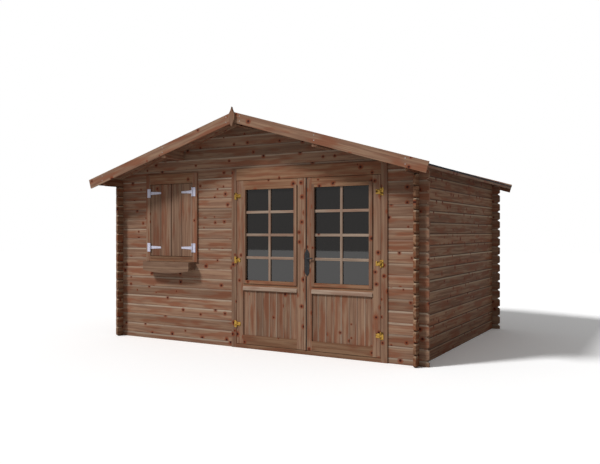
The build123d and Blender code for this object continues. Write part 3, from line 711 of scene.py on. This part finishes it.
class Copies:
    """The two Geometry Nodes trees that repeat a shape: on chosen points, or in a straight row."""

    def __init__(self) -> None:
        """Builds both trees and the heads that are put on points."""
        self.sockets: dict[str, dict[str, str]] = {}
        self.on_points = self.points_tree()
        self.in_row = self.row_tree()
        self.screw = TurnedHead("screw_head", 0.0042, 0.0018, slotted=True).build()
        self.nail = TurnedHead("nail_head", 0.0045, 0.0014, slotted=False).build()

    def start_tree(self, name: str, inputs: dict[str, str]) -> tuple[Tree, bpy.types.bpy_prop_collection]:
        """Starts a tree with named inputs.

        Args:
            name: The tree's name.
            inputs: Blender's kind of socket for each named input.

        Returns:
            The tree and the sockets of its input node.
        """
        tree = bpy.data.node_groups.new(name, "GeometryNodeTree")
        face = tree.interface
        face.new_socket("Shape", in_out="INPUT", socket_type="NodeSocketGeometry")
        sockets = {key: face.new_socket(key, in_out="INPUT", socket_type=kind) for key, kind in inputs.items()}
        self.sockets[name] = {key: socket.identifier for key, socket in sockets.items()}
        face.new_socket("Shape", in_out="OUTPUT", socket_type="NodeSocketGeometry")
        return tree, add_node(tree, "NodeGroupInput").outputs

    def end_tree(self, tree: Tree, copies: Socket, finish: Socket) -> None:
        """Ends a tree by turning the copies into one mesh with its finish."""
        real = add_node(tree, "GeometryNodeRealizeInstances", {"Geometry": copies}).outputs[0]
        done = add_node(tree, "GeometryNodeSetMaterial", {"Geometry": real, "Material": finish}).outputs[0]
        add_node(tree, "NodeGroupOutput", {0: done})

    def points_tree(self) -> Tree:
        """Builds the tree that puts a head on every point, each turned by chance about its own axis."""
        kinds = {
            "Head": "NodeSocketObject",
            "Facing": "NodeSocketRotation",
            "Seed": "NodeSocketInt",
            "Finish": "NodeSocketMaterial",
        }
        tree, given = self.start_tree("heads_on_points", kinds)
        head = add_node(tree, "GeometryNodeObjectInfo", {"Object": given["Head"]}).outputs["Geometry"]
        points = add_node(tree, "GeometryNodeMeshToPoints", {"Mesh": given["Shape"]}).outputs[0]
        inputs = {"Points": points, "Instance": head, "Rotation": given["Facing"]}
        placed = add_node(tree, "GeometryNodeInstanceOnPoints", inputs).outputs[0]
        inputs = {2: 0.0, 3: math.pi, "Seed": given["Seed"]}
        chance = add_node(tree, "FunctionNodeRandomValue", inputs, data_type="FLOAT").outputs[1]
        turn = add_node(tree, "ShaderNodeCombineXYZ", {2: chance}).outputs[0]
        turned = add_node(tree, "GeometryNodeRotateInstances", {"Instances": placed, "Rotation": turn}).outputs[0]
        self.end_tree(tree, turned, given["Finish"])
        return tree

    def row_tree(self) -> Tree:
        """Builds the tree that repeats the object's own mesh in a straight row."""
        kinds = {"Count": "NodeSocketInt", "Step": "NodeSocketVector", "Finish": "NodeSocketMaterial"}
        tree, given = self.start_tree("row_of_copies", kinds)
        inputs = {"Count": given["Count"], "Start Location": (0.0, 0.0, 0.0), "Offset": given["Step"]}
        line = add_node(tree, "GeometryNodeMeshLine", inputs).outputs[0]
        inputs = {"Points": line, "Instance": given["Shape"]}
        placed = add_node(tree, "GeometryNodeInstanceOnPoints", inputs).outputs[0]
        self.end_tree(tree, placed, given["Finish"])
        return tree

    def run(self, source: bpy.types.Object, tree: Tree, values: dict[str, Any]) -> None:
        """Runs a tree on an object and keeps its result as the object's plain mesh.

        Args:
            source: The object, whose mesh the result replaces.
            tree: The tree to run.
            values: A value for each of the tree's named inputs.
        """
        modifier = source.modifiers.new(tree.name, "NODES")
        modifier.node_group = tree
        for key, value in values.items():
            modifier[self.sockets[tree.name][key]] = value
        source.update_tag()
        result = flattened(source)
        source.modifiers.clear()
        source.data = result


@dataclass
class Assembly:
    """A part of the shed whose pieces ride on one body of the frame."""

    body: str
    finishes: Finishes
    copies: Copies
    # The chance by which heads are turned about their own axes.
    turn_seed: int = 7

    def keep(self, thing: bpy.types.Object, finish: str) -> bpy.types.Object:
        """Finishes a new piece and lets it ride on the body.

        Args:
            thing: The piece, in place.
            finish: The name of its finish.

        Returns:
            The same piece.
        """
        if not thing.data.materials:
            thing.data.materials.append(self.finishes.made[finish])
        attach(thing, self.body)
        log.info("%s has %d faces and rides on %s", thing.name, len(thing.data.polygons), self.body)
        return thing

    def strip(self, name: str, corners: list[Vector], length: Vector, finish: str, slot: str) -> None:
        """Adds one straight piece of a constant section."""
        self.keep(new_object(name, prism(corners, length)), finish)

    def row(
        self, name: str, corners: list[Vector], length: Vector, count: int, step: Vector, finish: str, slot: str
    ) -> None:
        """Adds a row of the same straight piece.

        Args:
            name: The row's name.
            corners: The corners of the first piece's end.
            length: The way and the distance that the end is drawn out.
            count: How many pieces there are.
            step: From one piece to the next.
            finish: The name of their finish.
            slot: Not used.
        """
        thing = new_object(name, prism(corners, length))
        values = {"Count": count, "Step": step, "Finish": self.finishes.made[finish]}
        self.copies.run(thing, self.copies.in_row, values)
        self.keep(thing, finish)

    def heads(
        self, name: str, points: list[Place], head: bpy.types.Object, facing: Facing, finish: str, slot: str
    ) -> None:
        """Puts a screw or nail head on every point.

        Args:
            name: The name of the whole set.
            points: The middles of the heads' undersides.
            head: The head to copy.
            facing: Which way the heads look.
            finish: The name of their finish.
            slot: Not used.
        """
        mesh = bpy.data.meshes.new(name)
        mesh.from_pydata(points, [], [])
        thing = new_object(name, mesh)
        values = {"Head": head, "Facing": facing.value, "Seed": self.turn_seed}
        values["Finish"] = self.finishes.made[finish]
        self.copies.run(thing, self.copies.on_points, values)
        self.keep(thing, finish)

    def screws(self, name: str, points: list[Place], finish: str, slot: str) -> None:
        """Puts a screw head that looks to the front on every point."""
        self.heads(name, points, self.copies.screw, Facing.FRONT, finish, slot)


@dataclass
class GlazingBars:
    """The moulded bars that divide a pane, outside and inside the glass."""

    pane: str
    across: int
    up: int
    width: float = 0.030
    nose: float = 0.024
    proud: float = 0.014
    # Where the bar starts to narrow to its nose, as a share of how far it stands out.
    shoulder: float = 0.8
    inside: float = 0.007
    rebate: float = 0.009
    # The cross bars lie this much lower, so that no two faces share a plane.
    cross_drop: float = 0.0008

    def add(self, to: Assembly, name: str, upright: str, crossing: str, slot: str) -> None:
        """Adds the bars to an assembly.

        Args:
            to: The assembly that holds the pane.
            name: The start of the bars' names.
            upright: The finish of the upright bars.
            crossing: The finish of the cross bars.
            slot: Passed on to the rows, which do not use it.
        """
        low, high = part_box(self.pane)
        x = (low.x + self.rebate, high.x - self.rebate)
        z = (low.z + self.rebate, high.z - self.rebate)
        step_x, step_z = (x[1] - x[0]) / self.across, (z[1] - z[0]) / self.up
        half, nose = self.width / 2, self.nose / 2
        shoulder = low.y - self.shoulder * self.proud
        for drop, kind in ((0.0, "mullion"), (self.cross_drop, "transoms")):
            front = low.y - self.proud + drop
            outside = [
                (-half, low.y), (-half, shoulder), (-nose, front), (nose, front), (half, shoulder), (half, low.y)
            ]
            back = high.y + self.inside - drop
            within = [(-half, high.y), (-nose, back), (nose, back), (half, high.y)]
            for side, section in (("outside", outside), ("inside", within)):
                if kind == "mullion":
                    corners = [Vector((x[0] + step_x + across, y, z[0])) for across, y in section]
                    length, step = Vector((0.0, 0.0, z[1] - z[0])), Vector((step_x, 0.0, 0.0))
                    count, finish = self.across - 1, upright
                else:
                    corners = [Vector((x[0], y, z[0] + step_z + across)) for across, y in section]
                    length, step = Vector((x[1] - x[0], 0.0, 0.0)), Vector((0.0, 0.0, step_z))
                    count, finish = self.up - 1, crossing
                to.row(f"{name}_{kind}_{side}", corners, length, count, step, finish, slot)


@dataclass
class Walls(Assembly):
    """The walls of crossing boards, with their eave beams."""

    def build(self) -> None:
        """Finishes the walls."""
        front = [f"front_wall_{part}" for part in ("below_window", "left_end", "between", "right_end")]
        self.finishes.dress("spruce_front_boards", *front, "front_gable", "back_wall")
        self.finishes.dress("spruce_side_boards", "right_wall", "left_wall", "eave_beams")


@dataclass
class Roof(Assembly):
    """The roof: purlins, boards, felt strips laid from ridge to eave, barge boards and finial."""

    slope: float = math.radians(ROOF_SLOPE_DEG)
    # The felt's upper face above the underside of the boards, square to the slope.
    felt_face: float = 0.023
    lap_width: float = 0.110
    lap_thick: float = 0.0028
    first_lap: float = -0.880
    lap_step: float = 0.700
    lap_count: int = 4
    lap_nail_inset: float = 0.020
    nail_pitch: float = 0.075
    # The nails of a barge board: their places across, how far below its top they sit, and how far apart.
    barge_nail_places: tuple[float, ...] = (0.09, 1.02, 2.01)
    barge_nail_drop: float = 0.058
    barge_nail_spread: float = 0.028

    def on_slope(self, side: Side, down: float, along: float, up: float) -> Vector:
        """Finds a point on a slope of the roof.

        Args:
            side: The slope.
            down: The distance from the ridge down the slope.
            along: The place from front to back.
            up: The height above the underside of the boards, square to the slope.

        Returns:
            The point in the frame.
        """
        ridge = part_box("right_roof_felt")[1].z - self.felt_face / math.cos(self.slope)
        level, drop = math.cos(self.slope), math.sin(self.slope)
        return Vector((side.value * (down * level + up * drop), along, ridge - down * drop + up * level))

    def felt_laps(self, side: Side) -> None:
        """Adds the laps where one strip of felt covers the edge of the next, and their nails."""
        edge = (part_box("right_roof_felt")[1].x - self.felt_face * math.sin(self.slope)) / math.cos(self.slope)
        skin, top = self.felt_face, self.felt_face + self.lap_thick
        end = edge - self.lap_thick
        section = ((-skin * math.tan(self.slope), skin), (end, skin), (end, top), (-top * math.tan(self.slope), top))
        corners = [self.on_slope(side, down, self.first_lap, up) for down, up in section]
        width, step = Vector((0.0, self.lap_width, 0.0)), Vector((0.0, self.lap_step, 0.0))
        self.row(f"{side.word}_felt_laps", corners, width, self.lap_count, step, "mineral_felt", "roof_felt")
        rows = [self.first_lap + k * self.lap_step + self.lap_nail_inset for k in range(self.lap_count)]
        count = int(edge / self.nail_pitch)
        points = [
            tuple(self.on_slope(side, (k + 0.5) * self.nail_pitch, row, top)) for row in rows for k in range(count)
        ]
        facing = Facing[f"{side.name}_SLOPE"]
        self.heads(f"{side.word}_felt_nails", points, self.copies.nail, facing, "galvanised_steel", "roof_felt")

    def barge_nails(self) -> None:
        """Nails the front barge boards to the ends of the purlins and eave beams."""
        low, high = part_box("front_right_barge")
        middle = high.z - self.barge_nail_drop
        points = [
            (side.value * x, low.y, middle - x * math.tan(self.slope) + dz)
            for side in Side
            for x in self.barge_nail_places
            for dz in (-self.barge_nail_spread, self.barge_nail_spread)
        ]
        self.heads("front_barge_nails", points, self.copies.nail, Facing.FRONT, "galvanised_steel", "barge_wood")

    def build(self) -> None:
        """Finishes the roof and adds its laps and nails."""
        self.finishes.dress("spruce_purlins", "ridge_purlin", "middle_purlins", "eave_battens")
        self.finishes.dress("spruce_roof_boards", "right_roof_boards", "left_roof_boards")
        self.finishes.dress("mineral_felt", "right_roof_felt", "left_roof_felt")
        self.finishes.dress("spruce_right_barges", "front_right_barge", "rear_right_barge")
        self.finishes.dress("spruce_left_barges", "front_left_barge", "rear_left_barge")
        self.finishes.dress("spruce_finial", "front_finial")
        for side in Side:
            self.felt_laps(side)
        self.barge_nails()


@dataclass
class DoorFrame(Assembly):
    """The door frame with the hinge plates on its posts."""

    screw_inset: float = 0.053
    screw_spread: float = 0.027

    def build(self) -> None:
        """Finishes the frame and screws its hinge plates on."""
        self.finishes.dress("spruce_posts", "door_posts")
        self.finishes.dress("spruce_rails", "door_head", "door_sill")
        self.finishes.dress("polished_brass", "door_hinge_plates")
        low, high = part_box("door_posts")
        points = [
            (x, low.y - PLATE_THICK, height + dz)
            for x in (low.x + self.screw_inset, high.x - self.screw_inset)
            for height in DOOR_HINGE_HEIGHTS
            for dz in (-self.screw_spread, self.screw_spread)
        ]
        self.screws("door_plate_screws", points, "polished_brass", "brass")


@dataclass
class DoorLeaf(Assembly):
    """One leaf of the glazed double door."""

    side: Side = Side.RIGHT
    # The moulding's section: how far each corner stands out from the stiles, and its height above the moulding's foot.
    moulding: tuple[Pair, ...] = (
        (0.0, 0.002), (0.009, 0.004), (0.011, 0.010), (0.009, 0.034), (0.0, 0.050),
    )
    # How far the moulding's foot hangs over the panel's top.
    moulding_drop: float = 0.008
    screw_insets: Pair = (0.025, 0.050)
    screw_spread: float = 0.012

    def dress_leaf(self, node: str) -> None:
        """Finishes the leaf's CAD pieces, whose names start with this node."""
        self.finishes.dress("spruce_stiles", node + "stiles")
        self.finishes.dress("spruce_rails", node + "rails", node + "sash_rails")
        self.finishes.dress(f"spruce_{self.side.word}_panel", node + "panel")
        self.finishes.dress("spruce_sash_uprights", node + "sash_uprights")
        self.finishes.dress("float_glass", node + "glass")
        self.finishes.dress("polished_brass", node + "hinge_straps")

    def build(self) -> None:
        """Finishes the leaf and adds its bars, its weather moulding and its screws."""
        leaf = f"{self.side.word}_door"
        node = leaf + "_"
        self.dress_leaf(node)
        GlazingBars(node + "glass", 2, 4).add(self, leaf, "spruce_upright_bars", "spruce_cross_bars", "joinery")
        sash_low, sash_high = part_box(node + "sash_uprights")
        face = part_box(node + "stiles")[0].y
        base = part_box(node + "panel")[1].z - self.moulding_drop
        corners = [Vector((sash_low.x, face - proud, base + up)) for proud, up in self.moulding]
        length = Vector((sash_high.x - sash_low.x, 0.0, 0.0))
        self.strip(f"{leaf}_moulding", corners, length, "spruce_cross_bars", "joinery")
        low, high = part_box(node + "hinge_straps")
        hung = high.x if self.side is Side.RIGHT else low.x
        points = [
            (hung - self.side.value * inset, face - PLATE_THICK, height + dz)
            for inset in self.screw_insets
            for height in DOOR_HINGE_HEIGHTS
            for dz in (-self.screw_spread, self.screw_spread)
        ]
        self.screws(f"{leaf}_strap_screws", points, "polished_brass", "brass")


@dataclass
class Handle(Assembly):
    """The cover strip and the handle plate of the right leaf, with a black strip of painted shade beside the cover
    strip.
    """

    screw_spread: float = 0.118
    seal_width: float = 0.007
    seal_proud: float = 0.003

    def build(self) -> None:
        """Finishes both, screws the plate on and adds a black strip of painted shade beside the cover strip, above and
        below the plate.
        """
        self.finishes.dress("spruce_cover_strip", "door_cover_strip")
        self.finishes.dress("forged_iron", "door_handle_plate")
        low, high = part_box("door_handle_plate")
        middle = (low + high) / 2
        points = [(middle.x, low.y, middle.z + dz) for dz in (-self.screw_spread, self.screw_spread)]
        self.screws("handle_plate_screws", points, "forged_iron", "dark_iron")
        strip_low, strip_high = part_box("door_cover_strip")
        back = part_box("right_door_stiles")[0].y
        x, front = (strip_high.x, strip_high.x + self.seal_width), back - self.seal_proud
        section = ((x[0], back), (x[0], front), (x[1], front), (x[1], back))
        for name, start, end in (("lower", strip_low.z, low.z), ("upper", high.z, strip_high.z)):
            corners = [Vector((across, y, start)) for across, y in section]
            self.strip(f"door_seal_{name}", corners, Vector((0.0, 0.0, end - start)), "black_rubber", "joinery")


@dataclass
class Window(Assembly):
    """The window frame with its sash, hinge plates and box."""

    bars_proud: float = 0.012
    screw_inset: float = 0.020
    plate_half: float = 0.054
    screw_spread: float = 0.042

    def build(self) -> None:
        """Finishes the window and adds its bars and screws."""
        self.finishes.dress("spruce_window_stiles", "window_frame_stiles", "window_sash_uprights")
        self.finishes.dress("spruce_rails", "window_frame_rails", "window_sash_rails")
        self.finishes.dress("float_glass", "window_glass")
        self.finishes.dress("white_enamelled_steel", "shutter_hinge_plates")
        self.finishes.dress("spruce_window_box", "window_box_front", "window_box_trough")
        bars = GlazingBars("window_glass", 2, 3, proud=self.bars_proud)
        bars.add(self, "window", "spruce_window_stiles", "spruce_rails", "joinery")
        low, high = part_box("shutter_hinge_plates")
        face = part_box("window_frame_stiles")[0].y
        points = [
            (x, face - PLATE_THICK, height + dz)
            for x in (low.x + self.screw_inset, high.x - self.screw_inset)
            for height in (low.z + self.plate_half, high.z - self.plate_half)
            for dz in (-self.screw_spread, self.screw_spread)
        ]
        self.screws("shutter_plate_screws", points, "white_enamelled_steel", "white_steel")


@dataclass
class Shutter(Assembly):
    """One shutter with its tapered straps."""

    side: Side = Side.RIGHT
    knuckle: float = 0.006
    screw_insets: tuple[float, ...] = (0.028, 0.095, 0.158)
    strap_half: float = 0.019

    def build(self) -> None:
        """Finishes the shutter and screws its straps on."""
        node = f"{self.side.word}_shutter"
        self.finishes.dress(f"spruce_{node}", node)
        self.finishes.dress("white_enamelled_steel", node + "_straps")
        low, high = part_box(node + "_straps")
        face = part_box(node)[0].y
        root = high.x - self.knuckle if self.side is Side.RIGHT else low.x + self.knuckle
        points = [
            (root - self.side.value * inset, face - PLATE_THICK, height)
            for inset in self.screw_insets
            for height in (low.z + self.strap_half, high.z - self.strap_half)
        ]
        self.screws(f"{node}_strap_screws", points, "white_enamelled_steel", "white_steel")


@dataclass
class Studio:
    """The plain white floor and sky, one soft sun from the front left, and the camera."""

    sun_way: Place = (0.660, 0.820, -1.000)
    sun_strength: float = 2.72
    sun_width_deg: float = 10.0
    sky_strength: float = 0.36
    sky_mirrored: float = 0.26
    floor_half: float = 36.0
    # The floor looks white to the camera, but lights the shed no more than a grey floor does.
    floor_seen: float = 1.10
    floor_mirrored: float = 0.92
    floor_lit: float = 0.55
    lens_mm: float = 39.32
    sensor_mm: float = 36.0
    camera_place: Place = (4.25, -7.656, 1.340)
    camera_turn_deg: float = 29.92

    def level(self, tree: Tree, lit: float, seen: float, mirrored: float) -> Socket:
        """Mixes a level that depends on what looks.

        Args:
            tree: The tree of the floor or the sky.
            lit: The level that lights the shed.
            seen: The level that the camera sees.
            mirrored: The level that shiny surfaces show.

        Returns:
            The level for each ray.
        """
        path = add_node(tree, "ShaderNodeLightPath").outputs
        level = maths(tree, "MULTIPLY_ADD", path["Is Camera Ray"], seen - lit, lit)
        return maths(tree, "MULTIPLY_ADD", path["Is Glossy Ray"], mirrored - lit, level)

    def floor(self) -> None:
        """Lays the floor."""
        half = self.floor_half
        mesh = bpy.data.meshes.new("studio_floor")
        corners = [(-half, -half, 0.0), (half, -half, 0.0), (half, half, 0.0), (-half, half, 0.0)]
        mesh.from_pydata(corners, [], [(0, 1, 2, 3)])
        material, tree, shader = new_material("white_floor")
        tree.nodes.remove(shader)
        level = self.level(tree, self.floor_lit, self.floor_seen, self.floor_mirrored)
        colour = add_node(tree, "ShaderNodeCombineColor", {0: level, 1: level, 2: level}).outputs[0]
        matt = add_node(tree, "ShaderNodeBsdfDiffuse", {"Color": colour}).outputs[0]
        tree.links.new(matt, tree.nodes["Material Output"].inputs["Surface"])
        mesh.materials.append(material)
        new_object("studio_floor", mesh)

    def sky(self) -> None:
        """Makes an even sky that the camera sees as white."""
        world = bpy.data.worlds.new("studio_sky")
        world.use_nodes = True
        tree = world.node_tree
        level = self.level(tree, self.sky_strength, 1.0, self.sky_mirrored)
        background = tree.nodes["Background"]
        background.inputs["Color"].default_value = (1.0, 1.0, 1.0, 1.0)
        tree.links.new(level, background.inputs["Strength"])
        bpy.context.scene.world = world

    def sun(self) -> None:
        """Hangs the sun."""
        light = bpy.data.lights.new("studio_sun", "SUN")
        light.energy = self.sun_strength
        light.angle = math.radians(self.sun_width_deg)
        lamp = bpy.data.objects.new("studio_sun", light)
        lamp.rotation_euler = Vector(self.sun_way).to_track_quat("-Z", "Y").to_euler()
        bpy.context.scene.collection.objects.link(lamp)

    def camera(self) -> None:
        """Sets a level camera where the photograph was taken from, at about half the shed's height."""
        lens = bpy.data.cameras.new("camera")
        lens.lens = self.lens_mm
        lens.sensor_width = self.sensor_mm
        camera = bpy.data.objects.new("camera", lens)
        camera.location = self.camera_place
        camera.rotation_euler = (math.pi / 2, 0.0, math.radians(self.camera_turn_deg))
        bpy.context.scene.collection.objects.link(camera)
        bpy.context.scene.camera = camera

    def build(self) -> None:
        """Sets up the whole studio."""
        self.floor()
        self.sky()
        self.sun()
        self.camera()
        bpy.context.scene.view_settings.view_transform = "Standard"


def main() -> None:
    """Dresses the shed from its walls to its screws and sets up the studio."""
    logging.basicConfig(level=logging.INFO, format="%(name)s: %(message)s")
    Studio().build()
    finishes = Finishes()
    copies = Copies()
    assemblies = (
        Walls("shed", finishes, copies),
        Roof("shed", finishes, copies),
        DoorFrame("shed", finishes, copies),
        DoorLeaf("right_door_leaf", finishes, copies),
        DoorLeaf("left_door_leaf", finishes, copies, side=Side.LEFT),
        Handle("right_door_leaf", finishes, copies),
        Window("shed", finishes, copies),
        Shutter("right_shutter_leaf", finishes, copies),
        Shutter("left_shutter_leaf", finishes, copies, side=Side.LEFT),
    )
    for assembly in assemblies:
        assembly.build()
    finishes.dress("forged_iron", "door_lever")
    for head in (copies.screw, copies.nail):
        bpy.data.objects.remove(head)


if __name__ == "__main__":
    main()
